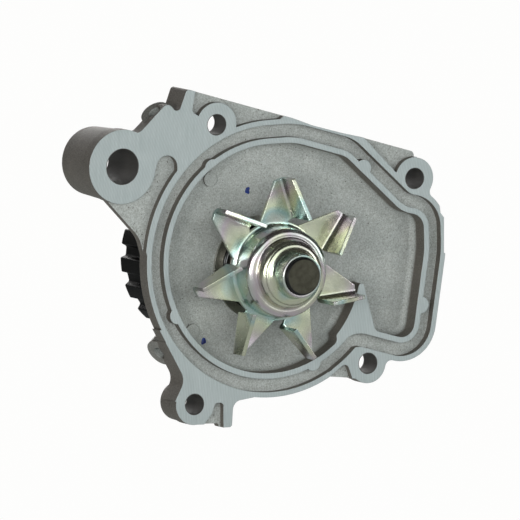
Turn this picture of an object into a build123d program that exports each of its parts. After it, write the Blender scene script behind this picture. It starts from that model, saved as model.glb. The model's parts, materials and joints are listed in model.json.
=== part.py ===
from build123d import *

import math
import os

# Water pump of a small four-cylinder engine, driven by the back end of its shaft
# through a toothed timing belt. Millimetres.
# Frame: the origin is on the shaft axis in the plane of the milled mounting face.
# +X is right and +Z is up as seen from the impeller side, +Y runs back to the pulley.

os.makedirs("parts", exist_ok=True)

# ---------------------------------------------------------------- driving dimensions
# Impeller pressing
BLADE_R = 30.35            # reach of the blades
VANES = 7
SHEET = 1.3
DISC_Y = -4.4              # front surface of the flat disc
DISC_RIM = 1.8             # flat disc around the dome
FOLD_ROOT_GAP = 4.0        # root of a blade outside the dome
FOLD_ROOT_DEG = 68.3
FOLD_TIP_DEG = 84.9
PETAL_TIP_SHORT = 1.25     # corner of the petal inside the blades' reach
PETAL_TIP_DEG = 91.05
PETAL_ROOT_GAP = 2.0
PETAL_ROOT_DEG = 111.8
BEND_R = 1.2
VANE_TIP_HEIGHT = 6.4
VANE_ROOT_HEIGHT = 11.2
DOME_STEP = 3.2            # from the second shoulder out to the first
DOME_HEIGHT = 8.5          # of the first shoulder above the disc
NECK_STEP = 4.2            # from the neck out to the second shoulder
STEP_HEIGHT = 3.5          # of the second shoulder above the first
NECK_HEIGHT = 5.8          # of the lip above the second shoulder
NECK_WALL = 1.0

# Volute chamber and the sealing groove around it
VOLUTE_X = 0.3
VOLUTE_Z = 3.5
CHAMBER_GAP = 6.85         # from the blades to the chamber wall, about the volute centre
TONGUE_GAP = 2.75          # from the blades to the cutwater
RIDGE_WIDTH = 1.85         # narrow land between chamber and groove
GROOVE_WIDTH = 4.3
GROOVE_DEPTH = 2.8
LAND_WIDTH = 1.7           # land outside the groove
CHAMBER_DEPTH = 7.0
FLOOR_THICK = 4.0
FLOOR_FILLET = 2.1
FLANGE_THICK = 5.2
POCKET_DEPTH = 2.3
EDGE_WALL_DEPTH = 11.0     # stiffening wall behind the top edge
EDGE_WALL_THICK = 3.4
NECK_DEPTH = 9.0           # thick flange beside the bottom left bolt
TONGUE_ROUND = 1.0
BUMP_R = 2.75              # half-round locators for the sealing ring
PAD_R = 2.4                # ejector pads on the chamber floor
PAD_HEIGHT = 0.7

# Bolt holes: angle about the volute centre, distance outside the ridge, boss radius, boss length
BOLT_HOLE_R = 3.3          # clearance for M6
BOLT_BOSSES = {
    "top_left": (114.0, 9.55, 7.2, 7.9),
    "top_right": (24.0, 18.45, 6.8, 14.0),
    "bottom_right": (-45.4, 11.4, 6.5, 9.1),
    "bottom_left": (-121.3, 14.55, 6.7, 12.0),
}
BRACKET_DEG = 148.9
BRACKET_GAP = 23.85
BRACKET_HOLE_R = 5.7       # clearance for M10 and its locating sleeve
BRACKET_BOSS_R = 12.0
BRACKET_BOSS_LENGTH = 21.0
BOSS_DRAFT_DEG = 2.4

# Bearing and seal bores of the housing
HUB_WALL = 3.4
HUB_SHORT = 0.5            # the ring stands this far out of the hub
BEARING_R = 15.0
BEARING_LENGTH = 26.5
SEAL_BORE_R = 15.0
SEAL_BORE_DEPTH = 8.2      # behind the chamber floor
DRAIN_LENGTH = 4.8         # open chamber between the seal and the bearing
DRAIN_OPEN = 0.7           # chamber bore beyond the ring's; the bearing stops against its edge
BLEED_R = 2.2
BLEED_RIB_R = 4.8
BLEED_DRILLINGS = ((127.5, 66.3, 2.9), (216.2, 44.2, 8.8))   # angle, distance and depth of the mouth
RIB_WIDTH = 4.0
BACK_RIBS = (              # angle, end outside the ridge, depth there
    (146.1, 18, 12), (112.1, 8, 8), (70.0, 1, 9), (27.0, 14, 9),
    (-10.0, 11, 9), (-42.2, 8, 8), (-123.0, 9, 9),
)
RIB_SHORT = 1.0            # ribs end this far ahead of the bearing

# Shaft, its bearing and the pulley
SHAFT_R = 7.95             # through the bearing
NOSE_R = 6.0               # through the seal and the impeller
NOSE_PROUD = 1.2           # out of the impeller's neck
SHOULDER_GAP = 1.3         # shaft shoulder ahead of the bearing
TAIL_SHORT = 0.3           # shaft end below the pulley's back face
RING_SHARE = 0.468         # wall of the ring, of the space between shaft and seat
BALL_SHARE = 0.693         # ball radius, of the space inside the ring
ROW_FILL = 0.765           # of the way round that the balls take up
BALL_PLAY = 0.1
ROW_INSET = 7.6            # from each end of the ring to its row of balls
SEAL_SLOT = 2.3            # depth taken by a lip seal in the end of the ring
CAGE_SHARE = 0.64          # band of the cage, of the space inside the ring
CAGE_BACK = 3.7            # cage band behind the ball centres
CAGE_FRONT = 1.0
CAGE_PLAY = 0.02           # a ball in its pocket

TEETH = 18
BELT_PITCH = 9.525
PITCH_LINE = 0.686         # belt pitch line above the tooth tips
TOOTH_DEPTH = 1.9
GROOVE_TOP = 4.6           # tooth space at the tips
GROOVE_FLOOR = 2.9         # tooth space at the roots
TOOTH_TIP_ROUND = 0.5
PULLEY_WIDTH = 26.0
PULLEY_WEB = 5.6
PULLEY_GAP = 0.7           # web behind the bearing
PULLEY_CLEAR = 2.7         # rim around the housing's hub
PULLEY_RECESS = 0.9
PULLEY_HUB_WALL = 5.05
TOOTH_PHASE_DEG = 5.0

# Mechanical seal
SEAL_FACE_Y = 0.0          # plane where the carbon runs on the ceramic ring
SEAL_FILM = 0.05
CUP_SHEET = 0.8
CUP_LIP = 2.0              # flange of the cup on the chamber floor
SLEEVE_GAP = 2.0           # inner sleeve of the cup around the shaft
SLEEVE_LENGTH = 3.0
MATING_CLEAR = 0.6         # ceramic ring inside the dome
MATING_THICK = 4.0
MATING_BORE_GAP = 0.7
GASKET_BACK = 1.5
CARBON_CLEAR = 1.6         # ferrule inside the cup
CARBON_SHAFT_GAP = 2.5
CARBON_THICK = 5.0
CARBON_NOSE = 1.0
FERRULE_SHEET = 0.6
FERRULE_CLEAR = 0.2        # ferrule around the bellows
SPRING_CLEAR = 0.45        # spring around the bellows
SPRING_WIRE = 1.2
SPRING_TURNS = 4
BELLOWS_WALL = 1.1
BELLOWS_CLEAR = 0.2        # bellows around the cup's sleeve

# ---------------------------------------------------------------- derived places
RIDGE_R = BLADE_R + CHAMBER_GAP + RIDGE_WIDTH    # outer edge of the narrow land
TONGUE_R = BLADE_R + TONGUE_GAP                  # cutwater, struck from the shaft axis
FLOOR_Y = CHAMBER_DEPTH
FLOOR_BACK = FLOOR_Y + FLOOR_THICK
SEAL_BORE_END = FLOOR_Y + SEAL_BORE_DEPTH
BEARING_FRONT = SEAL_BORE_END + DRAIN_LENGTH
BEARING_BACK = BEARING_FRONT + BEARING_LENGTH
BLEED_END_Y = SEAL_BORE_END + DRAIN_LENGTH / 2
HUB_R = BEARING_R + HUB_WALL
HUB_BACK = BEARING_BACK - HUB_SHORT
RIB_BACK = BEARING_FRONT - RIB_SHORT
RING_WALL = RING_SHARE * (BEARING_R - SHAFT_R)
RING_BORE_R = BEARING_R - RING_WALL
SEAL_SLOT_R = BEARING_R - RING_WALL * 2 / 3
DRAIN_R = RING_BORE_R + DRAIN_OPEN
SLINGER_R = NOSE_R + 0.625 * (DRAIN_R - NOSE_R)
BALL_PITCH_R = (SHAFT_R + RING_BORE_R) / 2
BALL_R = BALL_SHARE * (RING_BORE_R - SHAFT_R)
BALLS_PER_ROW = math.floor(ROW_FILL * math.pi * BALL_PITCH_R / BALL_R)
CAGE_WALL = CAGE_SHARE * (RING_BORE_R - SHAFT_R)
FRONT_ROW_Y = BEARING_FRONT + ROW_INSET
REAR_ROW_Y = BEARING_BACK - ROW_INSET
SHOULDER_Y = BEARING_FRONT - SHOULDER_GAP
LIP_R = NOSE_R + NECK_WALL
STEP_R = LIP_R + NECK_STEP
DOME_R = STEP_R + DOME_STEP
DISC_R = DOME_R + DISC_RIM
DOME_TOP_Y = DISC_Y - DOME_HEIGHT
STEP_TOP_Y = DOME_TOP_Y - STEP_HEIGHT
NECK_END_Y = STEP_TOP_Y - NECK_HEIGHT
NOSE_TIP_Y = NECK_END_Y - NOSE_PROUD
VANE_STEP_DEG = 360 / VANES
TIP_CIRCLE_R = TEETH * BELT_PITCH / (2 * math.pi) - PITCH_LINE
WEB_FRONT = BEARING_BACK + PULLEY_GAP
WEB_BACK = WEB_FRONT + PULLEY_WEB
PULLEY_BACK = WEB_BACK + PULLEY_RECESS
MATING_R = DOME_R - SHEET - MATING_CLEAR
CUP_WALL_R = SEAL_BORE_R - CUP_SHEET
CARBON_R = CUP_WALL_R - CARBON_CLEAR - FERRULE_SHEET
SLEEVE_R = NOSE_R + SLEEVE_GAP
BELLOWS_IN = SLEEVE_R + CUP_SHEET + BELLOWS_CLEAR
BELLOWS_OUT = BELLOWS_IN + BELLOWS_WALL
SPRING_R = BELLOWS_OUT + SPRING_CLEAR + SPRING_WIRE / 2


# ---------------------------------------------------------------- small helpers
def outline(*corners):
    """Closed face in the X-Z plane through (x, z, radius) corners."""
    points = [(x, z) for x, z, _ in corners]
    radii = [r for _, _, r in corners]
    return make_face(FilletPolyline(*points, radius=radii, close=True))


def spot(angle_deg, gap):
    """(x, z) at an angle about the volute centre, a distance outside the ridge."""
    x, z = polar(RIDGE_R + gap, angle_deg)
    return (VOLUTE_X + x, VOLUTE_Z + z)


def spots(*corners):
    """Closed face through (angle, gap, radius) corners, or (angle, gap) for a sharp one."""
    return outline(*[(*spot(angle, gap), *(fillet_r or (0,))) for angle, gap, *fillet_r in corners])


def disc(x, z, r):
    return Pos(x, z) * Circle(r)


def slab(sketch, y_from, y_to):
    """Solid between two depths with the outline of a sketch drawn in X and Z."""
    return extrude(Plane.XZ.offset(-y_from) * sketch, amount=-(y_to - y_from))


def turned(*points):
    """Solid of revolution about the shaft axis through (radius, y) points."""
    return revolve(make_face(Polyline(*points, close=True)), axis=Axis.Y)


def ring(r_in, r_out, y_from, y_to):
    return turned((r_in, y_from), (r_out, y_from), (r_out, y_to), (r_in, y_to))


def rod(r, y_from, y_to):
    return turned((0, y_from), (r, y_from), (r, y_to), (0, y_to))


def bore(x, z, r, y_from, y_to):
    return Pos(x, 0, z) * rod(r, y_from, y_to)


def cone_boss(x, z, r, length, draft_deg):
    """Boss that stands back from the mounting face, slimmer at its far end."""
    r_far = r - length * math.tan(math.radians(draft_deg))
    return Pos(x, 0, z) * turned((0, 0), (r, 0), (r_far, length), (0, length))


def around(shape, angle_deg):
    """Turn a shape about the shaft axis, counter-clockwise as seen from the front."""
    return Rot(0, -angle_deg, 0) * shape


def polar(r, angle_deg):
    angle = math.radians(angle_deg)
    return (r * math.cos(angle), r * math.sin(angle))


def save(name, shape):
    export_step(shape, f"parts/{name}.step")


# ---------------------------------------------------------------- housing outlines
def ridge_outline():
    """Outer edge of the ridge: the volute circle and the outlet lobe beside it."""
    lobe = outline(
        (VOLUTE_X, VOLUTE_Z, 0),
        (VOLUTE_X, VOLUTE_Z + RIDGE_R, 0),
        (*spot(77.6, 1.1), 25),
        (*spot(49.8, 4.8), 10),
        (*spot(16.5, 11.95), 9.3),
        (*spot(12.3, 19.95), 6.8),
        (*spot(-0.5, 18.95), 30),
        (*spot(-30.8, 22.9), 6.5),
        (*spot(-39.9, -0.1), 9.6),
        (*spot(-59.8, 0.15), 0),
    )
    return disc(VOLUTE_X, VOLUTE_Z, RIDGE_R) + lobe


def bump_outline():
    """Half-round locators on the ridge that centre the sealing ring."""
    bumps = Sketch()
    for angle, gap in ((124.7, -1.9), (206.3, -1.25), (294.0, -1.25), (39.3, 4.65), (-18.1, 18.8)):
        bumps += disc(*spot(angle, gap), BUMP_R)
    return bumps


def tongue_outline():
    """Cutwater between the impeller circle and the outlet."""
    wedge = spots(
        (-15.2, -4.25, 0.7), (-34.1, 7.2, 2.5), (-28.3, 28.75), (-41.2, 27.0),
        (-47.0, 3.2), (-48.3, -6.75), (-19.7, -6.45),
    )
    return wedge - Circle(TONGUE_R)


def chamber_outline(ridge):
    chamber = offset(ridge, -RIDGE_WIDTH) - tongue_outline()
    corner_r = FLOOR_FILLET + 0.1
    chamber = offset(offset(chamber, -corner_r), corner_r)
    return offset(offset(chamber, TONGUE_ROUND), -TONGUE_ROUND)


def bracket_disc(extra_r=0.0):
    return disc(*spot(BRACKET_DEG, BRACKET_GAP), BRACKET_BOSS_R + extra_r)


def bolt_disc(name, extra_r=0.0):
    angle, gap, boss_r, _ = BOLT_BOSSES[name]
    return disc(*spot(angle, gap), boss_r + extra_r)


def edge_trims():
    """Shallow flats where the casting's edge runs inside its even land."""
    top = spots((81.7, 7.1), (70.2, 6.05), (57.1, 8.1), (49.0, 11.1), (50.0, 16.45), (77.4, 14.75))
    right = spots((14.6, 24.55), (10.7, 24.1), (9.1, 25.1), (-1.4, 24.3), (-1.2, 30.65), (12.9, 32.45))
    return top + right


def face_outline(ridge):
    """Edge of the milled face: lands, bolt bosses, top plate and corner webs."""
    land = offset(ridge, GROOVE_WIDTH + LAND_WIDTH)
    top_plate = spots(
        (BRACKET_DEG, BRACKET_GAP), (140.4, 30.8), (138.7, 25.3, 4), (125.5, 25.45, 2),
        (124.8, 19.85, 1.5), (118.4, 25.15, 1.2), (30.7, 23.25, 1.5), (24.0, 18.45), (18.3, -18.3),
        (-175.0, 1.4), (179.4, 5.15), (169.0, 8.45, 9), (157.6, 28.35),
    )
    neck = spots(
        (-152.5, 6.6), (-129.6, 9.9, 5), (-128.1, 17.5), (-121.3, 14.55), (-117.3, 19.95),
        (-109.1, 16.75), (-108.2, 17.7, 0.6), (-104.8, 16.7, 1.0), (-106.7, 8.65, 3.2), (-98.0, 6.1),
        (-90.7, -15.55),
    )
    web = spots((-65.2, 4.25), (-52.5, 12.25), (-45.4, 11.4), (-55.4, -0.8))
    bosses = bracket_disc()
    for name in BOLT_BOSSES:
        bosses += bolt_disc(name)
    blend = 2.2
    whole = offset(offset(land + bosses + web, blend), -blend)
    return whole + top_plate + neck + bracket_disc() - edge_trims()


def pocket_outlines(ridge):
    """Cast pockets that keep the milled face narrow."""
    land = offset(ridge, GROOVE_WIDTH + LAND_WIDTH)
    rim = 0.5
    keyhole = disc(*spot(140.2, 10.15), 3.8) + spots(
        (142.9, 13.15), (137.2, 7.3), (177.5, -5.0), (176.0, 8.0), (160.7, 29.05), (148.8, 19.75),
    )
    keyhole -= disc(VOLUTE_X, VOLUTE_Z, RIDGE_R + GROOVE_WIDTH + LAND_WIDTH + rim)
    keyhole -= bracket_disc(0.1)
    top_left = spots(
        (114.7, 25.35), (120.4, 17.65, 1.5), (117.6, 13.4), (108.6, -0.55), (83.9, 7.3), (92.4, 15.5),
    )
    top_left -= bolt_disc("top_left")
    top_left -= land
    top_right = spots((51.9, 14.95), (49.0, 11.7), (28.5, 13.6, 2), (28.8, 22.2), (33.2, 27.55))
    top_right -= bolt_disc("top_right", 0.2)
    bottom_right = spots((-62.8, 6.05), (-51.7, 5.65, 1.6), (-54.2, 12.75), (-63.9, 7.75))
    bottom_left = spots(
        (-115.5, 22.5), (-115.0, 19.4), (-113.6, 14.65, 3), (-113.9, 11.05, 1.2), (-110.7, 9.9, 1.2),
        (-107.3, 19.1),
    )
    bottom_left -= bolt_disc("bottom_left")
    return keyhole, top_left, top_right, bottom_right, bottom_left


def sunk(sketch, depth, fillet_r):
    """Cutter for a recess in the front face with a rounded floor edge."""
    cutter = slab(sketch, -1.0, depth)
    return fillet(cutter.edges().filter_by_position(Axis.Y, depth - 0.01, depth + 0.01), fillet_r)


# ---------------------------------------------------------------- housing
def bleed_line(angle_deg, mouth_r, mouth_y, radius, overrun):
    """Slanting cylinder from the drain chamber out to the rim of the housing."""
    inner_r = DRAIN_R - 1.0
    run = mouth_r - inner_r
    slope = (BLEED_END_Y - mouth_y) / run
    length = math.hypot(run, run * slope)
    direction = Vector(run, -run * slope, 0) / length
    start = Plane(origin=(inner_r, BLEED_END_Y, 0), z_dir=direction)
    return around(extrude(start * Circle(radius), amount=length + overrun), angle_deg)


def radial_rib(angle_deg, reach, back_at_end):
    """Rib on the back from the hub out towards a boss, lower at its outer end."""
    front = FLANGE_THICK / 2
    foot = HUB_R - HUB_WALL / 2
    profile = make_face(Polyline(
        (foot, front), (reach, front), (reach, back_at_end), (foot, RIB_BACK), close=True,
    ))
    return around(extrude(profile, amount=RIB_WIDTH / 2, both=True), angle_deg)


def edge_wall_outline():
    """Straight wall that stiffens the top edge."""
    left_x, left_z = spot(118.4, 25.15)
    right_x, right_z = spot(30.7, 23.25)
    return outline(
        (*spot(124.2, 20.2), 0), (left_x, left_z, 1.2), (right_x - 1, right_z, 0),
        (right_x - 1, right_z - EDGE_WALL_THICK, 0),
        (left_x + EDGE_WALL_THICK, left_z - EDGE_WALL_THICK - 1, 0), (*spot(121.0, 15.2), 0),
    )


def housing_blank(ridge):
    """The casting before its recesses and bores."""
    body = slab(face_outline(ridge), 0, FLANGE_THICK)
    body += slab(offset(ridge, GROOVE_WIDTH / 3), 0, FLOOR_BACK)
    for angle, gap, boss_r, length in BOLT_BOSSES.values():
        body += cone_boss(*spot(angle, gap), boss_r, length, BOSS_DRAFT_DEG)
    bracket_x, bracket_z = spot(BRACKET_DEG, BRACKET_GAP)
    body += cone_boss(bracket_x, bracket_z, BRACKET_BOSS_R, BRACKET_BOSS_LENGTH, BOSS_DRAFT_DEG)
    body += slab(edge_wall_outline() - edge_trims(), 0, EDGE_WALL_DEPTH)
    neck = spots((-146.7, 6.8), (-129.6, 9.9, 5), (-128.1, 17.5), (-121.3, 14.55), (-120.7, 4.6))
    body += slab(neck, 0, NECK_DEPTH)
    body += rod(HUB_R, FLOOR_Y, HUB_BACK)
    body += turned(
        (HUB_R - 1, FLOOR_BACK - 1), (HUB_R + 5, FLOOR_BACK - 1), (HUB_R + 4, FLOOR_BACK + 1),
        (HUB_R, FLOOR_BACK + 6), (HUB_R - 1, FLOOR_BACK + 6),
    )
    for mouth in BLEED_DRILLINGS:
        body += bleed_line(*mouth, BLEED_RIB_R, 0) - slab(Circle(RIDGE_R * 3), -30, 0.3)
    for angle, gap, back in BACK_RIBS:
        body += radial_rib(angle, RIDGE_R + gap, back)
    return body


def housing_solid():
    ridge = ridge_outline()
    body = housing_blank(ridge)
    body -= sunk(chamber_outline(ridge), CHAMBER_DEPTH, FLOOR_FILLET)
    body -= slab(offset(ridge, GROOVE_WIDTH) - ridge - bump_outline(), -1, GROOVE_DEPTH)
    for pocket in pocket_outlines(ridge):
        body -= slab(pocket, -1, POCKET_DEPTH)
    for pad in (spot(125.5, -7.0), spot(-137.6, -5.05)):
        body += bore(*pad, PAD_R, FLOOR_Y - PAD_HEIGHT, FLOOR_Y + 1)
    for angle, gap, _, length in BOLT_BOSSES.values():
        body -= bore(*spot(angle, gap), BOLT_HOLE_R, -1, length + 1)
    body -= bore(*spot(BRACKET_DEG, BRACKET_GAP), BRACKET_HOLE_R, -1, BRACKET_BOSS_LENGTH + 1)
    body -= rod(SEAL_BORE_R, FLOOR_Y - 1, SEAL_BORE_END)
    body -= rod(DRAIN_R, FLOOR_Y, BEARING_BACK)
    body -= rod(BEARING_R, BEARING_FRONT, BEARING_BACK + 1)
    for mouth in BLEED_DRILLINGS:
        body -= bleed_line(*mouth, BLEED_R, BLEED_RIB_R)
    return body


# ---------------------------------------------------------------- bearing
def race(row_y):
    """Ring-shaped cutter for one ball track."""
    track = Pos(BALL_PITCH_R, row_y) * Circle(BALL_R + BALL_PLAY)
    return revolve(track, axis=Axis.Y)


def outer_ring_solid():
    body = ring(RING_BORE_R, BEARING_R, BEARING_FRONT, BEARING_BACK)
    body -= ring(RING_BORE_R - 1, SEAL_SLOT_R, BEARING_FRONT - 1, BEARING_FRONT + SEAL_SLOT)
    body -= ring(RING_BORE_R - 1, SEAL_SLOT_R, BEARING_BACK - SEAL_SLOT, BEARING_BACK + 1)
    return body - race(FRONT_ROW_Y) - race(REAR_ROW_Y)


def shaft_solid():
    tail_y = PULLEY_BACK - TAIL_SHORT
    body = turned(
        (0, NOSE_TIP_Y), (NOSE_R - 0.4, NOSE_TIP_Y), (NOSE_R, NOSE_TIP_Y + 0.4), (NOSE_R, SHOULDER_Y),
        (SHAFT_R, SHOULDER_Y), (SHAFT_R, tail_y - 0.5), (SHAFT_R - 0.5, tail_y), (0, tail_y),
    )
    return body - race(FRONT_ROW_Y) - race(REAR_ROW_Y)


def balls_solid(row_y):
    balls = []
    for i in range(BALLS_PER_ROW):
        x, z = polar(BALL_PITCH_R, i * 360 / BALLS_PER_ROW)
        balls.append(Pos(x, row_y, z) * Sphere(BALL_R))
    return Compound(children=balls)


def cage_solid(row_y, side):
    """Crown cage whose band lies on one side (+1 or -1) of the balls."""
    y_open = row_y - side * CAGE_FRONT
    y_band = row_y + side * CAGE_BACK
    half = CAGE_WALL / 2
    body = ring(BALL_PITCH_R - half, BALL_PITCH_R + half, min(y_open, y_band), max(y_open, y_band))
    pocket = Pos(BALL_PITCH_R, row_y, 0) * Rot(0, 90, 0) * Cylinder(BALL_R + CAGE_PLAY, CAGE_WALL * 2)
    for i in range(BALLS_PER_ROW):
        body -= around(pocket, i * 360 / BALLS_PER_ROW)
    return body


def lip_seal_solids(end_y, side):
    """Rubber lip and its steel insert in one end of the ring; side +1 faces the front."""
    lip_r = SHAFT_R + BALL_PLAY

    def at(depth):
        return end_y + side * depth

    lip = turned(
        (lip_r, at(0.9)), (lip_r + 0.9, at(0.2)), (SEAL_SLOT_R, at(0.2)), (SEAL_SLOT_R, at(1.5)),
        (lip_r + 1.2, at(1.5)), (lip_r, at(1.3)),
    )
    insert = ring(lip_r + 1.5, SEAL_SLOT_R, min(at(1.5), at(2.1)), max(at(1.5), at(2.1)))
    return lip, insert


# ---------------------------------------------------------------- mechanical seal
def cup_solid():
    back = SEAL_BORE_END
    sleeve_out = SLEEVE_R + CUP_SHEET
    return turned(
        (CUP_WALL_R, FLOOR_Y - CUP_SHEET), (SEAL_BORE_R + CUP_LIP, FLOOR_Y - CUP_SHEET),
        (SEAL_BORE_R + CUP_LIP, FLOOR_Y), (SEAL_BORE_R, FLOOR_Y), (SEAL_BORE_R, back), (SLEEVE_R, back),
        (SLEEVE_R, back - SLEEVE_LENGTH), (sleeve_out, back - SLEEVE_LENGTH), (sleeve_out, back - CUP_SHEET),
        (CUP_WALL_R, back - CUP_SHEET),
    )


def carbon_solid():
    face = SEAL_FACE_Y + SEAL_FILM
    bore_r = NOSE_R + CARBON_SHAFT_GAP
    return turned(
        (bore_r + 0.4, face), (CARBON_R - 1.4, face), (CARBON_R - 1.4, face + CARBON_NOSE),
        (CARBON_R, face + CARBON_NOSE), (CARBON_R, face + CARBON_THICK), (bore_r, face + CARBON_THICK),
        (bore_r, face + 0.4),
    )


def ferrule_solid():
    front = SEAL_FACE_Y + SEAL_FILM + CARBON_NOSE + 0.6
    collar_back = SEAL_FACE_Y + SEAL_FILM + CARBON_THICK + BELLOWS_WALL
    inner_r = BELLOWS_OUT + FERRULE_CLEAR
    return turned(
        (CARBON_R, front), (CARBON_R + FERRULE_SHEET, front),
        (CARBON_R + FERRULE_SHEET, collar_back + FERRULE_SHEET), (inner_r, collar_back + FERRULE_SHEET),
        (inner_r, collar_back), (CARBON_R, collar_back),
    )


def bellows_solid():
    collar = SEAL_FACE_Y + SEAL_FILM + CARBON_THICK
    foot = SEAL_BORE_END - CUP_SHEET
    return turned(
        (BELLOWS_IN, collar), (CARBON_R, collar), (CARBON_R, collar + BELLOWS_WALL),
        (BELLOWS_OUT, collar + BELLOWS_WALL), (BELLOWS_OUT, foot - BELLOWS_WALL),
        (CUP_WALL_R, foot - BELLOWS_WALL), (CUP_WALL_R, foot), (BELLOWS_IN, foot),
    )


def spring_solid():
    seat = SEAL_FACE_Y + SEAL_FILM + CARBON_THICK + BELLOWS_WALL + FERRULE_SHEET
    foot = SEAL_BORE_END - CUP_SHEET - BELLOWS_WALL
    height = foot - seat - SPRING_WIRE
    path = Helix(pitch=height / SPRING_TURNS, height=height, radius=SPRING_R)
    section = Plane(origin=path @ 0, z_dir=path % 0) * Circle(SPRING_WIRE / 2)
    coil = sweep(section, path=path)
    return Pos(0, foot - SPRING_WIRE / 2, 0) * Rot(90, 0, 0) * coil


def mating_ring_solid():
    return ring(NOSE_R + MATING_BORE_GAP, MATING_R, SEAL_FACE_Y - MATING_THICK, SEAL_FACE_Y)


def gasket_solid():
    seat = SEAL_FACE_Y - MATING_THICK
    return turned(
        (NOSE_R, seat - GASKET_BACK), (MATING_R, seat - GASKET_BACK), (MATING_R, seat),
        (NOSE_R + MATING_BORE_GAP, seat), (NOSE_R + MATING_BORE_GAP, SEAL_FACE_Y - 1.0),
        (NOSE_R, SEAL_FACE_Y - 1.0),
    )


def slinger_solid():
    back = SHOULDER_Y
    return turned(
        (NOSE_R, back - 2.0), (NOSE_R + 1.2, back - 2.0), (NOSE_R + 1.8, back - 1.0),
        (SLINGER_R - 0.2, back - 1.6), (SLINGER_R, back - 0.9), (NOSE_R + 2.2, back), (NOSE_R, back),
    )


# ---------------------------------------------------------------- impeller and pulley
def dome_solid():
    """Stepped dome and neck: the outer surface from the disc to the lip, then the inner one back."""
    profile = outline(
        (DISC_R, DISC_Y, 0),
        (DOME_R + 0.5, DISC_Y, 1.2),
        (DOME_R, DOME_TOP_Y, 2.0),
        (STEP_R + 0.4, DOME_TOP_Y + 0.3, 0.6),
        (STEP_R - 0.7, STEP_TOP_Y, 1.7),
        (LIP_R + 0.7, STEP_TOP_Y + 0.7, 2.2),
        (LIP_R, NECK_END_Y, 0.4),
        (NOSE_R, NECK_END_Y, 0.3),
        (NOSE_R, STEP_TOP_Y + SHEET + 0.8, 0.8),
        (STEP_R - 0.9 - SHEET, STEP_TOP_Y + SHEET + 0.1, 0.6),
        (STEP_R - SHEET, DOME_TOP_Y + SHEET, 1.2),
        (DOME_R - SHEET, DOME_TOP_Y + SHEET, 1.2),
        (DOME_R + 0.4 - SHEET, DISC_Y + SHEET, 2.6),
        (DISC_R, DISC_Y + SHEET, 0),
    )
    return revolve(profile, axis=Axis.Y)


def vane_solids():
    """One flat petal and the blade that is folded forward from its leading edge."""
    root_x, root_z = polar(DOME_R + FOLD_ROOT_GAP, FOLD_ROOT_DEG)
    tip_x, tip_z = polar(BLADE_R, FOLD_TIP_DEG)
    root = Vector(root_x, DISC_Y, root_z)
    run = Vector(tip_x, DISC_Y, tip_z) - root
    along = run.normalized()
    inward = Vector(0, -1, 0).cross(along)
    half = SHEET / 2
    reach = half + BEND_R
    high = VANE_ROOT_HEIGHT + 1
    section = Plane(origin=root, x_dir=inward, z_dir=along)
    edge = [
        Line((-half, high), (-half, BEND_R)),
        RadiusArc((-half, BEND_R), (reach, -SHEET), -(BEND_R + SHEET)),
        Line((reach, -SHEET), (reach, 0)),
        RadiusArc((reach, 0), (half, BEND_R), BEND_R),
        Line((half, BEND_R), (half, high)),
        Line((half, high), (-half, high)),
    ]
    blade = extrude(section * make_face(edge), amount=run.length)
    side = Plane(origin=root, x_dir=along, z_dir=inward)
    if side.y_dir.Y > 0:
        side = Plane(origin=root, x_dir=along, z_dir=-inward)
    above = make_face(Polyline(
        (-1, VANE_ROOT_HEIGHT), (run.length + 1, VANE_TIP_HEIGHT), (run.length + 1, high + 2), (-1, high + 2),
        close=True,
    ))
    blade -= extrude(side * above, amount=SHEET * 3, both=True)
    shift = inward * reach
    flat = make_face(Polyline(
        (root_x + shift.X, root_z + shift.Z), (tip_x + shift.X, tip_z + shift.Z),
        polar(BLADE_R - PETAL_TIP_SHORT, PETAL_TIP_DEG), polar(DOME_R + PETAL_ROOT_GAP, PETAL_ROOT_DEG),
        polar(DISC_R - 3, FOLD_ROOT_DEG + 15), close=True,
    ))
    return slab(flat, DISC_Y, DISC_Y + SHEET), blade


def impeller_solid():
    body = dome_solid()
    petal, blade = vane_solids()
    for i in range(VANES):
        body += around(petal, -i * VANE_STEP_DEG)
        body += around(blade, -i * VANE_STEP_DEG)
    return body


def pulley_solid():
    """Sintered belt pulley: toothed rim, recessed web and pressed hub."""
    root_r = TIP_CIRCLE_R - TOOTH_DEPTH
    profile = Circle(TIP_CIRCLE_R)
    space = outline(
        (TIP_CIRCLE_R + 1, GROOVE_TOP / 2 + 0.45, 0), (root_r, GROOVE_FLOOR / 2, 0.8),
        (root_r, -GROOVE_FLOOR / 2, 0.8), (TIP_CIRCLE_R + 1, -GROOVE_TOP / 2 - 0.45, 0),
    )
    pitch_deg = 360 / TEETH
    for i in range(TEETH):
        profile -= Rot(0, 0, TOOTH_PHASE_DEG + (i + 0.5) * pitch_deg) * space
    tips = profile.vertices().group_by(lambda v: round(math.hypot(v.X, v.Y), 1))[-1]
    profile = fillet(tips, TOOTH_TIP_ROUND)
    front = PULLEY_BACK - PULLEY_WIDTH
    rim_in = HUB_R + PULLEY_CLEAR
    rim = slab(profile, front, PULLEY_BACK)
    rim -= rod(rim_in, front - 1, WEB_FRONT)
    rim -= rod(rim_in, WEB_BACK, PULLEY_BACK + 1)
    rim += rod(SHAFT_R + PULLEY_HUB_WALL, WEB_FRONT, PULLEY_BACK)
    return rim - rod(SHAFT_R, front, PULLEY_BACK + 1)


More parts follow.
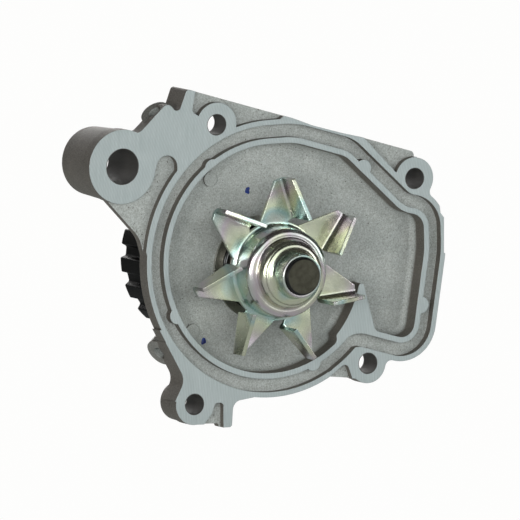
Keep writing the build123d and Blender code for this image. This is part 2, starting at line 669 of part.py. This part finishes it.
# ---------------------------------------------------------------- all the nodes
def main():
    front_lip, front_insert = lip_seal_solids(BEARING_FRONT, 1)
    rear_lip, rear_insert = lip_seal_solids(BEARING_BACK, -1)
    save("pump_housing", housing_solid())
    save("bearing_outer_ring", outer_ring_solid())
    save("front_lip_seal", front_lip)
    save("front_seal_insert", front_insert)
    save("rear_lip_seal", rear_lip)
    save("rear_seal_insert", rear_insert)
    save("front_balls", balls_solid(FRONT_ROW_Y))
    save("rear_balls", balls_solid(REAR_ROW_Y))
    save("front_ball_cage", cage_solid(FRONT_ROW_Y, 1))
    save("rear_ball_cage", cage_solid(REAR_ROW_Y, -1))
    save("seal_cup", cup_solid())
    save("seal_bellows", bellows_solid())
    save("seal_spring", spring_solid())
    save("seal_ferrule", ferrule_solid())
    save("seal_carbon_ring", carbon_solid())
    save("seal_mating_ring", mating_ring_solid())
    save("mating_ring_gasket", gasket_solid())
    save("shaft_slinger", slinger_solid())
    save("pump_shaft", shaft_solid())
    save("impeller", impeller_solid())
    save("timing_pulley", pulley_solid())


main()
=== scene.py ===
"""Looks of the water pump: materials, paint marks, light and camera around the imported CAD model.

Metres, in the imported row's frame: the origin is on the shaft axis in the plane of the milled
face, +X right and +Z up as seen from the impeller side, +Y back towards the pulley.
"""

import json
import math
import random

import bmesh
import bpy
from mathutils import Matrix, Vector


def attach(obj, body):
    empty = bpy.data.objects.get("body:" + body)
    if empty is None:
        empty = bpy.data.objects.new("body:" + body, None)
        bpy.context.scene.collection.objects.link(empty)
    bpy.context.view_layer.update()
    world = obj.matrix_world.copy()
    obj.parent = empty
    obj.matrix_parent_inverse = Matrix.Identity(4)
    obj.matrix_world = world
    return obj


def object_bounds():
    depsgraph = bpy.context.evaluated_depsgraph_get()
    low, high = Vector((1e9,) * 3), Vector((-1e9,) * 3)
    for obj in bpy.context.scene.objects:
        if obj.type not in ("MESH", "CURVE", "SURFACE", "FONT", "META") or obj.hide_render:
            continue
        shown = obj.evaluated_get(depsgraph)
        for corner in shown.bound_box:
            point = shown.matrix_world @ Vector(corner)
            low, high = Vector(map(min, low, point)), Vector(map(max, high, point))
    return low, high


MM = 0.001

# Machining that only shows as a finish, in millimetres
CHAMBER_DEPTH_MM = 7.0      # chamber floor behind the milled face
MILLED_SKIN_MM = 0.12       # the milled finish reaches this far behind the face
SEATS_MM = {                # radius of the spot-faced seat behind each mount
    "bolt_top_left": 7.5, "bolt_top_right": 7.0, "bolt_bottom_right": 7.0,
    "bolt_bottom_left": 7.0, "bracket_bolt": 12.5, "pump_axis": 19.0,
}
BORES_MM = {                # just outside each drilled bore's wall; inside it the colour is painted shade
    "bolt_top_left": 3.5, "bolt_top_right": 3.5, "bolt_bottom_right": 3.5,
    "bolt_bottom_left": 3.5, "bracket_bolt": 5.9,
}
CUTTER_CENTRE = (-0.30, 0.0, -0.075)    # metres: the milling arcs are struck from here
CUTTER_FEED_MM = 0.95
# Painted shade: the dark colour laid inside the bores to stand in for their shadow.
BORE_PAINTED_SHADE = (0.085, 0.080, 0.075)

PAINT_MARKS = (             # name, X and Z on the chamber floor, radius, in millimetres
    ("paint_mark_top", -4.6, 25.2, 1.05),
    ("paint_mark_bottom", -20.6, -22.9, 1.05),
)
PAINT_HEIGHT_MM = 0.16
PAINT_RIM_MM = 0.012
PAINT_SQUASH = 0.88         # a dab is narrower than it is high
PAINT_SEED = 11

# Studio and camera
PAPER_LEVEL = 0.985         # the background as the camera sees it
PAPER_BLUE = 0.992          # its blue, as a share of its red and green
ROOM_GLOW = (0.045, 0.044, 0.042)
TABLE_GLOW = (0.40, 0.42, 0.41)
TABLE_HALF = 6.0            # metres from the middle of the table to its edge
TABLE_GAP = 0.3 * MM        # the table lies this far below the part
PHOTO_AZIMUTH = -27.7
PHOTO_ELEVATION = 6.4
VIEW_WIDTH = 0.16774        # metres across the picture at the shaft axis
CAMERA_DISTANCE = 6.0
CAMERA_REACH = 50.0
SENSOR = 36.0
AIM_RIGHT = -3.29 * MM      # the picture's centre from the shaft axis, in the picture plane
AIM_UP = 3.06 * MM
LAMPS = (                   # name, azimuth, elevation, distance, width, height, watts, colour
    ("tent", 18, 13, 1.3, 1.5, 0.66, 3.9, (0.94, 1.0, 0.985)),
    ("front", -28, 9, 1.3, 1.1, 0.42, 5.2, (0.97, 1.0, 0.985)),
    ("key", 50, 6, 1.0, 0.26, 0.20, 0.8, (0.98, 1.0, 0.99)),
    ("window_left", -50, 6, 1.0, 0.16, 0.22, 1.7, (1.0, 1.0, 0.98)),
    ("side_right", 104, 12, 1.3, 0.8, 0.45, 3.0, (1.0, 1.0, 0.99)),
    ("back_right", 148, 18, 1.3, 1.2, 0.7, 11.0, (1.0, 0.995, 0.98)),
    ("back", 180, 14, 1.3, 0.6, 0.5, 3.0, (1.0, 0.995, 0.98)),
)

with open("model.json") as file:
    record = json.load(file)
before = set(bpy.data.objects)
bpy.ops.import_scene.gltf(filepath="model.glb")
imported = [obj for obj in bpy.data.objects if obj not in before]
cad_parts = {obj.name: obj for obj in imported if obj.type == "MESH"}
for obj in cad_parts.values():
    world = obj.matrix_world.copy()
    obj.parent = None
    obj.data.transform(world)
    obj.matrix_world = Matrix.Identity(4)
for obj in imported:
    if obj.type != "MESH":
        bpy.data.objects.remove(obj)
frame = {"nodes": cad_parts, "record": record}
cad_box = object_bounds()
nodes = frame["nodes"]
mounts = {mount["name"]: mount for mount in frame["record"]["mounts"]}


# ---------------------------------------------------------------- shader helper
class Shader:
    """A material under construction: short calls that add one node each and wire it up."""

    def __init__(self, name):
        self.material = bpy.data.materials.new(name)
        self.material.use_nodes = True
        self.tree = self.material.node_tree
        self.tree.nodes.clear()
        self.surface = self.add("ShaderNodeBsdfPrincipled")
        output = self.add("ShaderNodeOutputMaterial")
        self.link(self.surface.outputs[0], output.inputs["Surface"])
        self.where = self.add("ShaderNodeTexCoord").outputs["Object"]

    def add(self, kind, **settings):
        node = self.tree.nodes.new(kind)
        for key, value in settings.items():
            setattr(node, key, value)
        return node

    def link(self, source, target):
        self.tree.links.new(source, target)

    def feed(self, target, value):
        """Wires an output in, or writes a plain value."""
        if isinstance(value, bpy.types.NodeSocket):
            self.link(value, target)
        else:
            target.default_value = value

    def set(self, **values):
        """Sockets of the surface shader, with spaces written as underscores."""
        for key, value in values.items():
            if isinstance(value, tuple):
                value = (*value, 1.0)
            self.feed(self.surface.inputs[key.replace("_", " ")], value)

    def math(self, operation, a, b=0.0, c=0.0):
        node = self.add("ShaderNodeMath", operation=operation)
        for socket, value in zip(node.inputs, (a, b, c)):
            self.feed(socket, value)
        return node.outputs[0]

    def vector(self, operation, a, b=(0.0, 0.0, 0.0), result=0):
        node = self.add("ShaderNodeVectorMath", operation=operation)
        self.feed(node.inputs[0], a)
        self.feed(node.inputs[1], b)
        return node.outputs[result]

    def axes(self, value):
        node = self.add("ShaderNodeSeparateXYZ")
        self.feed(node.inputs[0], value)
        return node.outputs

    def noise(self, size_mm, detail=2.0, roughness=0.5, stretch=None):
        """Noise whose features are about this size; stretch is a scale per axis."""
        place = self.where
        if stretch:
            place = self.vector("MULTIPLY", place, stretch)
        node = self.add("ShaderNodeTexNoise")
        self.link(place, node.inputs["Vector"])
        node.inputs["Scale"].default_value = 1.0 / (size_mm * MM)
        node.inputs["Detail"].default_value = detail
        node.inputs["Roughness"].default_value = roughness
        return node.outputs[0]

    def span(self, value, low, high, to_low=0.0, to_high=1.0):
        """Linear remap, held at both ends."""
        node = self.add("ShaderNodeMapRange")
        for socket, part in zip(node.inputs, (value, low, high, to_low, to_high)):
            self.feed(socket, part)
        return node.outputs[0]

    def ramp(self, value, *stops):
        """Colour ramp through (position, colour) stops."""
        node = self.add("ShaderNodeValToRGB")
        band = node.color_ramp.elements
        while len(band) < len(stops):
            band.new(0.5)
        for element, (position, colour) in zip(band, stops):
            element.position = position
            element.color = (*colour, 1.0)
        self.feed(node.inputs[0], value)
        return node.outputs[0]

    def mix(self, amount, a, b, blend="MIX"):
        node = self.add("ShaderNodeMix", data_type="RGBA", blend_type=blend)
        self.feed(node.inputs[0], amount)
        for socket, value in ((node.inputs[6], a), (node.inputs[7], b)):
            self.feed(socket, (*value, 1.0) if isinstance(value, tuple) else value)
        return node.outputs[2]

    def blend(self, amount, a, b):
        """The same for plain numbers."""
        node = self.add("ShaderNodeMix", data_type="FLOAT")
        for socket, value in zip(node.inputs[:1] + node.inputs[2:4], (amount, a, b)):
            self.feed(socket, value)
        return node.outputs[0]

    def rounded(self, radius_mm):
        """Normals that round the edges off a little."""
        node = self.add("ShaderNodeBevel", samples=6)
        node.inputs["Radius"].default_value = radius_mm * MM
        return node.outputs[0]

    def bump(self, height, distance_mm, normal=None):
        node = self.add("ShaderNodeBump")
        node.inputs["Strength"].default_value = 1.0
        node.inputs["Distance"].default_value = distance_mm * MM
        self.feed(node.inputs["Height"], height)
        if normal is not None:
            self.link(normal, node.inputs["Normal"])
        return node.outputs[0]

    def shaft_radius(self):
        """Distance from the shaft axis."""
        flat = self.vector("MULTIPLY", self.where, (1.0, 0.0, 1.0))
        return self.vector("LENGTH", flat, result=1)


def facing(shader):
    """Components of the surface's own normal, in the row frame at rest."""
    return shader.axes(shader.add("ShaderNodeTexCoord").outputs["Normal"])


# ---------------------------------------------------------------- materials
def near_mounts(shader, radii_mm):
    """1 inside a cylinder along Y around each of these mounts, 0 elsewhere."""
    flat = shader.vector("MULTIPLY", shader.where, (1.0, 0.0, 1.0))
    inside = 0.0
    for name, radius_mm in radii_mm.items():
        x, _, z = mounts[name]["pos_m"]
        away = shader.vector("DISTANCE", flat, (x, 0.0, z), result=1)
        inside = shader.math("MAXIMUM", inside, shader.math("LESS_THAN", away, radius_mm * MM))
    return inside


def cast_aluminium():
    """Sand-grey die casting, milled on the mounting face and on the seats behind."""
    s = Shader("cast_aluminium")
    depth = s.axes(s.where)[1]
    normal_y = facing(s)[1]
    skin = s.math("LESS_THAN", depth, MILLED_SKIN_MM * MM)
    front = s.math("MULTIPLY", skin, s.math("LESS_THAN", normal_y, -0.9))
    seats = s.math("MULTIPLY", near_mounts(s, SEATS_MM), s.math("GREATER_THAN", normal_y, 0.95))
    milled = s.math("MAXIMUM", front, seats)
    # Painted shade: inside the bores the colour goes dark where their shadow falls.
    painted_bore_shade_mask = near_mounts(s, BORES_MM)

    grain = s.noise(0.42, detail=3.0, roughness=0.6)
    cloud = s.noise(9.0, detail=3.0, roughness=0.55)
    speck = s.noise(0.7, detail=1.0)
    cast = s.mix(s.span(cloud, 0.32, 0.7), (0.50, 0.525, 0.515), (0.60, 0.625, 0.61))
    pitted = s.mix(1.0, cast, (0.62, 0.61, 0.59), "MULTIPLY")
    cast = s.mix(s.span(grain, 0.34, 0.66), pitted, cast)
    # Painted shade: faces that turn sideways, the walls and flanks, are darkened towards brown to
    # stand in for the little light that reaches them.
    painted_flank_shade = s.mix(1.0, cast, (0.38, 0.33, 0.30), "MULTIPLY")
    cast = s.mix(s.span(s.math("ABSOLUTE", normal_y), 0.12, 0.55), painted_flank_shade, cast)
    cast = s.mix(s.span(speck, 0.68, 0.74), cast, (0.16, 0.15, 0.14))

    # The cutter's path: wide arcs struck from far away to the lower left
    arc = s.vector("DISTANCE", s.where, CUTTER_CENTRE, result=1)
    feed = s.math("SINE", s.math("MULTIPLY", arc, 2 * math.pi / (CUTTER_FEED_MM * MM)))
    scratch = s.noise(1.0, detail=5.0, roughness=0.75, stretch=(3.2, 1.0, 0.10))
    lines = s.math("ADD", s.math("MULTIPLY", feed, 0.35), scratch)
    shade = s.mix(s.span(scratch, 0.34, 0.66), (0.43, 0.475, 0.48), (0.55, 0.60, 0.605))
    shade = s.mix(s.span(feed, -0.6, 0.9, 0.0, 0.35), shade, (0.40, 0.44, 0.445))
    dulled = s.mix(1.0, shade, (0.94, 0.95, 0.95), "MULTIPLY")
    face = s.mix(s.span(cloud, 0.35, 0.65), shade, dulled)

    cast_roughness = s.span(grain, 0.2, 0.8, 0.66, 0.54)
    face_roughness = s.span(scratch, 0.3, 0.7, 0.42, 0.52)
    s.set(
        Base_Color=s.mix(painted_bore_shade_mask, s.mix(milled, cast, face), BORE_PAINTED_SHADE),
        Metallic=s.blend(milled, 0.22, 0.38),
        Roughness=s.blend(milled, cast_roughness, face_roughness),
    )
    rough = s.math("ADD", grain, s.math("MULTIPLY", s.noise(1.6, detail=2.0), 0.7))
    height = s.blend(milled, rough, s.math("MULTIPLY", lines, 0.16))
    s.set(Normal=s.bump(height, 0.055, normal=s.rounded(0.32)))
    return s.material


def zinc_plate():
    """Bright zinc on pressed steel, passivated in drifting blue, yellow and pink."""
    s = Shader("zinc_plate")
    radius = s.shaft_radius()
    depth = s.axes(s.where)[1]
    drift = s.noise(13.0, detail=1.0, roughness=0.4)
    bands = s.math("ADD", s.math("MULTIPLY", radius, 260.0), s.math("MULTIPLY", depth, 190.0))
    bands = s.math("MULTIPLY", bands, 0.20)
    phase = s.math("FRACT", s.math("ADD", bands, s.math("MULTIPLY", drift, 1.3)))
    film = s.ramp(
        phase,
        (0.00, (0.64, 0.69, 0.64)), (0.20, (0.50, 0.68, 0.67)), (0.42, (0.72, 0.75, 0.56)),
        (0.66, (0.70, 0.69, 0.57)), (0.84, (0.66, 0.57, 0.63)), (1.00, (0.64, 0.69, 0.64)),
    )
    stain = s.span(s.noise(3.2, detail=3.0, roughness=0.55), 0.35, 0.75)
    s.set(
        Base_Color=s.mix(s.math("MULTIPLY", stain, 0.3), film, (0.54, 0.55, 0.47)),
        Metallic=1.0,
        Roughness=s.span(s.noise(2.5, detail=2.0, roughness=0.5), 0.25, 0.75, 0.20, 0.29),
    )
    fine = s.math("MULTIPLY", s.noise(0.6, detail=2.0), 0.008)
    ripple = s.math("ADD", s.noise(9.0, detail=0.5), fine)
    s.set(Normal=s.bump(ripple, 0.5, normal=s.rounded(0.45)))
    return s.material


def black_sinter():
    """Steam-blackened sintered steel: fine pores, polished a little by the belt."""
    s = Shader("black_sinter")
    pores = s.noise(0.22, detail=3.0, roughness=0.7)
    wear = s.noise(3.0, detail=3.0)
    black, rubbed = (0.0010,) * 3, (0.0035,) * 3
    s.set(
        Base_Color=s.mix(s.span(wear, 0.4, 0.75), black, rubbed),
        Roughness=s.span(pores, 0.3, 0.7, 0.34, 0.52),
        Specular_IOR_Level=0.05,
    )
    s.set(Normal=s.bump(pores, 0.03, normal=s.rounded(0.3)))
    return s.material


def shaft_steel():
    """Turned end face, darkened by heat and oil; ground along the journal. Its chamfered rim is
    painted near black as painted shade of the crevice around the shaft.
    """
    s = Shader("shaft_steel")
    radius = s.shaft_radius()
    rings = s.math("SINE", s.math("MULTIPLY", radius, 2 * math.pi / (0.34 * MM)))
    dirt = s.noise(1.7, detail=5.0, roughness=0.65)
    dark = s.mix(s.span(dirt, 0.3, 0.72), (0.045, 0.042, 0.030), (0.090, 0.085, 0.062))
    # Painted shade: the rim of the end face is coloured near black to stand in for the shadowed
    # crevice between the impeller neck and the shaft.
    rim = s.span(radius, 5.35 * MM, 5.7 * MM)
    s.set(
        Base_Color=s.mix(rim, dark, (0.02, 0.02, 0.02)),
        Metallic=0.75,
        Roughness=s.span(dirt, 0.3, 0.7, 0.36, 0.52),
    )
    height = s.math("ADD", rings, s.math("MULTIPLY", dirt, 1.5))
    s.set(Normal=s.bump(height, 0.010, normal=s.rounded(0.15)))
    return s.material


def turned_metal(name, dark, light, roughness, pitch_mm=0.3):
    """Steel with turning or drawing marks around the shaft axis."""
    s = Shader(name)
    marks = s.noise(0.6, detail=4.0, roughness=0.7, stretch=(1.0, 6.0, 1.0))
    rings = s.math("SINE", s.math("MULTIPLY", s.axes(s.where)[1], 2 * math.pi / (pitch_mm * MM)))
    s.set(
        Base_Color=s.mix(s.span(marks, 0.3, 0.7), dark, light),
        Metallic=1.0,
        Roughness=s.span(marks, 0.25, 0.75, roughness - 0.06, roughness + 0.08),
    )
    height = s.math("ADD", s.math("MULTIPLY", rings, 0.3), marks)
    s.set(Normal=s.bump(height, 0.008, normal=s.rounded(0.12)))
    return s.material


def moulded(name, dark, light, roughness, grain_mm=0.25, distance_mm=0.02):
    """Rubber, nylon, carbon or ceramic: a matt skin with its own fine grain."""
    s = Shader(name)
    grain = s.noise(grain_mm, detail=3.0, roughness=0.6)
    cloud = s.noise(3.5, detail=2.0)
    s.set(
        Base_Color=s.mix(s.span(cloud, 0.3, 0.7), dark, light),
        Roughness=s.span(grain, 0.3, 0.7, roughness - 0.05, roughness + 0.07),
    )
    s.set(Normal=s.bump(grain, distance_mm, normal=s.rounded(0.15)))
    return s.material


def marker_paint():
    """Inspector's blue marking paint, thin at its rim."""
    s = Shader("marker_paint")
    pool = s.noise(0.8, detail=3.0)
    s.set(
        Base_Color=s.mix(s.span(pool, 0.35, 0.7), (0.003, 0.009, 0.11), (0.010, 0.05, 0.30)),
        Roughness=s.span(pool, 0.3, 0.7, 0.28, 0.5),
    )
    s.set(Normal=s.bump(pool, 0.05))
    return s.material


# ---------------------------------------------------------------- paint marks
def paint_mark(name, x_mm, z_mm, radius_mm, seed):
    """A dab of paint on the chamber floor: a low mound with an uneven rim."""
    floor_y = CHAMBER_DEPTH_MM * MM
    rng = random.Random(seed)
    lobes = [(rng.uniform(0.04, 0.12), rng.uniform(0, 2 * math.pi)) for _ in range(3)]
    mesh = bmesh.new()
    steps, rings = 40, 6
    crown = mesh.verts.new((x_mm * MM, floor_y - PAINT_HEIGHT_MM * MM, z_mm * MM))
    last = None
    for ring in range(1, rings + 1):
        share = ring / rings
        verts = []
        for step in range(steps):
            angle = 2 * math.pi * step / steps
            reach = 1 + sum(a * math.cos((i + 2) * angle + p) for i, (a, p) in enumerate(lobes))
            r = radius_mm * reach * share
            lift = PAINT_HEIGHT_MM * (1 - share**2.5) + PAINT_RIM_MM * (1 - share)
            x = (x_mm + PAINT_SQUASH * r * math.cos(angle)) * MM
            z = (z_mm + r * math.sin(angle)) * MM
            verts.append(mesh.verts.new((x, floor_y - lift * MM, z)))
        for i in range(steps):
            j = (i + 1) % steps
            if last is None:
                mesh.faces.new((crown, verts[j], verts[i]))
            else:
                mesh.faces.new((last[i], last[j], verts[j], verts[i]))
        last = verts
    bmesh.ops.recalc_face_normals(mesh, faces=mesh.faces)
    return piece_from(mesh, name)


def piece_from(mesh, name):
    data = bpy.data.meshes.new(name)
    mesh.to_mesh(data)
    mesh.free()
    data.shade_smooth()
    piece = bpy.data.objects.new(name, data)
    bpy.context.scene.collection.objects.link(piece)
    return piece


# ---------------------------------------------------------------- finishes by slot
FINISHES = {
    "cast_aluminium": cast_aluminium(),
    "bearing_steel": turned_metal("bearing_steel", (0.42, 0.43, 0.45), (0.58, 0.59, 0.61), 0.28),
    "seal_rubber": moulded("seal_rubber", (0.012, 0.012, 0.013), (0.024, 0.024, 0.026), 0.62),
    "insert_steel": turned_metal("insert_steel", (0.50, 0.50, 0.52), (0.64, 0.64, 0.66), 0.34),
    "ball_steel": turned_metal(
        "ball_steel", (0.74, 0.75, 0.77), (0.80, 0.81, 0.83), 0.10, pitch_mm=2.0,
    ),
    "cage_nylon": moulded("cage_nylon", (0.58, 0.50, 0.32), (0.68, 0.60, 0.40), 0.48),
    "cup_steel": turned_metal("cup_steel", (0.34, 0.33, 0.30), (0.46, 0.45, 0.41), 0.30),
    "spring_steel": turned_metal("spring_steel", (0.40, 0.40, 0.42), (0.52, 0.52, 0.54), 0.32),
    "carbon": moulded("carbon", (0.014, 0.014, 0.015), (0.030, 0.030, 0.032), 0.40, grain_mm=0.12),
    "ceramic": moulded("ceramic", (0.74, 0.71, 0.62), (0.82, 0.80, 0.72), 0.24, distance_mm=0.006),
    "shaft_steel": shaft_steel(),
    "zinc_plate": zinc_plate(),
    "black_sinter": black_sinter(),
}

for part in frame["record"]["subparts"]:
    for material_slot in nodes[part["node"]].material_slots:
        material_slot.material = FINISHES[part["material_slot"]]

paint = marker_paint()
for index, (mark_name, mark_x, mark_z, mark_r) in enumerate(PAINT_MARKS):
    mark = paint_mark(mark_name, mark_x, mark_z, mark_r, seed=PAINT_SEED + index)
    mark.data.materials.append(paint)
    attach(mark, "housing")


# ---------------------------------------------------------------- studio
def unit(azimuth_deg, elevation_deg):
    """Direction from the object; azimuth 0 is straight in front (-Y), positive to the right."""
    az = math.radians(azimuth_deg)
    el = math.radians(elevation_deg)
    return Vector((math.sin(az) * math.cos(el), -math.cos(az) * math.cos(el), math.sin(el)))


def softbox(name, azimuth, elevation, distance, width, height, watts, colour):
    """A rectangular lamp aimed at the shaft axis."""
    data = bpy.data.lights.new(name, "AREA")
    data.shape = "RECTANGLE"
    data.size = width
    data.size_y = height
    data.energy = watts
    data.color = colour
    lamp = bpy.data.objects.new(name, data)
    lamp.location = unit(azimuth, elevation) * distance
    lamp.rotation_euler = (-lamp.location).to_track_quat("-Z", "Y").to_euler()
    bpy.context.scene.collection.objects.link(lamp)


def ray_split(tree, seen, unseen):
    """One shader for what the camera sees and another for all other rays."""
    path = tree.nodes.new("ShaderNodeLightPath")
    split = tree.nodes.new("ShaderNodeMixShader")
    tree.links.new(path.outputs["Is Camera Ray"], split.inputs[0])
    tree.links.new(unseen, split.inputs[1])
    tree.links.new(seen, split.inputs[2])
    return split.outputs[0]


def paper(tree, kind):
    """A shader of the background's own near white."""
    node = tree.nodes.new(kind)
    node.inputs["Color"].default_value = (PAPER_LEVEL, PAPER_LEVEL, PAPER_LEVEL * PAPER_BLUE, 1.0)
    return node.outputs[0]


def studio_world():
    world = bpy.data.worlds.new("studio")
    world.use_nodes = True
    tree = world.node_tree
    tree.nodes.clear()
    seen = paper(tree, "ShaderNodeBackground")
    room = tree.nodes.new("ShaderNodeBackground")
    room.inputs["Color"].default_value = (*ROOM_GLOW, 1.0)
    output = tree.nodes.new("ShaderNodeOutputWorld")
    tree.links.new(ray_split(tree, seen, room.outputs[0]), output.inputs["Surface"])
    bpy.context.scene.world = world


def studio_floor():
    """Plain pale light table: near white to the camera, dimmer as the part's light from below."""
    z = cad_box[0][2] - TABLE_GAP
    mesh = bmesh.new()
    signs = ((-1, -1), (1, -1), (1, 1), (-1, 1))
    mesh.faces.new([mesh.verts.new((x * TABLE_HALF, y * TABLE_HALF, z)) for x, y in signs])
    floor = piece_from(mesh, "studio_floor")
    material = bpy.data.materials.new("studio_floor")
    material.use_nodes = True
    tree = material.node_tree
    tree.nodes.clear()
    seen = paper(tree, "ShaderNodeEmission")
    table = tree.nodes.new("ShaderNodeEmission")
    table.inputs["Color"].default_value = (*TABLE_GLOW, 1.0)
    output = tree.nodes.new("ShaderNodeOutputMaterial")
    tree.links.new(ray_split(tree, seen, table.outputs[0]), output.inputs["Surface"])
    floor.data.materials.append(material)


def photo_camera():
    """The photograph's viewpoint: so far away that the view is nearly parallel."""
    back = unit(PHOTO_AZIMUTH, PHOTO_ELEVATION)
    right = Vector((0, 0, 1)).cross(back).normalized()
    up = back.cross(right)
    target = right * AIM_RIGHT + up * AIM_UP
    data = bpy.data.cameras.new("photo_camera")
    data.sensor_width = SENSOR
    data.lens = SENSOR * CAMERA_DISTANCE / VIEW_WIDTH
    data.clip_end = CAMERA_REACH
    camera = bpy.data.objects.new("photo_camera", data)
    camera.location = target + back * CAMERA_DISTANCE
    camera.rotation_euler = (-back).to_track_quat("-Z", "Y").to_euler()
    bpy.context.scene.collection.objects.link(camera)
    bpy.context.scene.camera = camera


studio_world()
studio_floor()
for lamp_settings in LAMPS:
    softbox(*lamp_settings)
photo_camera()
bpy.context.scene.view_settings.view_transform = "Standard"
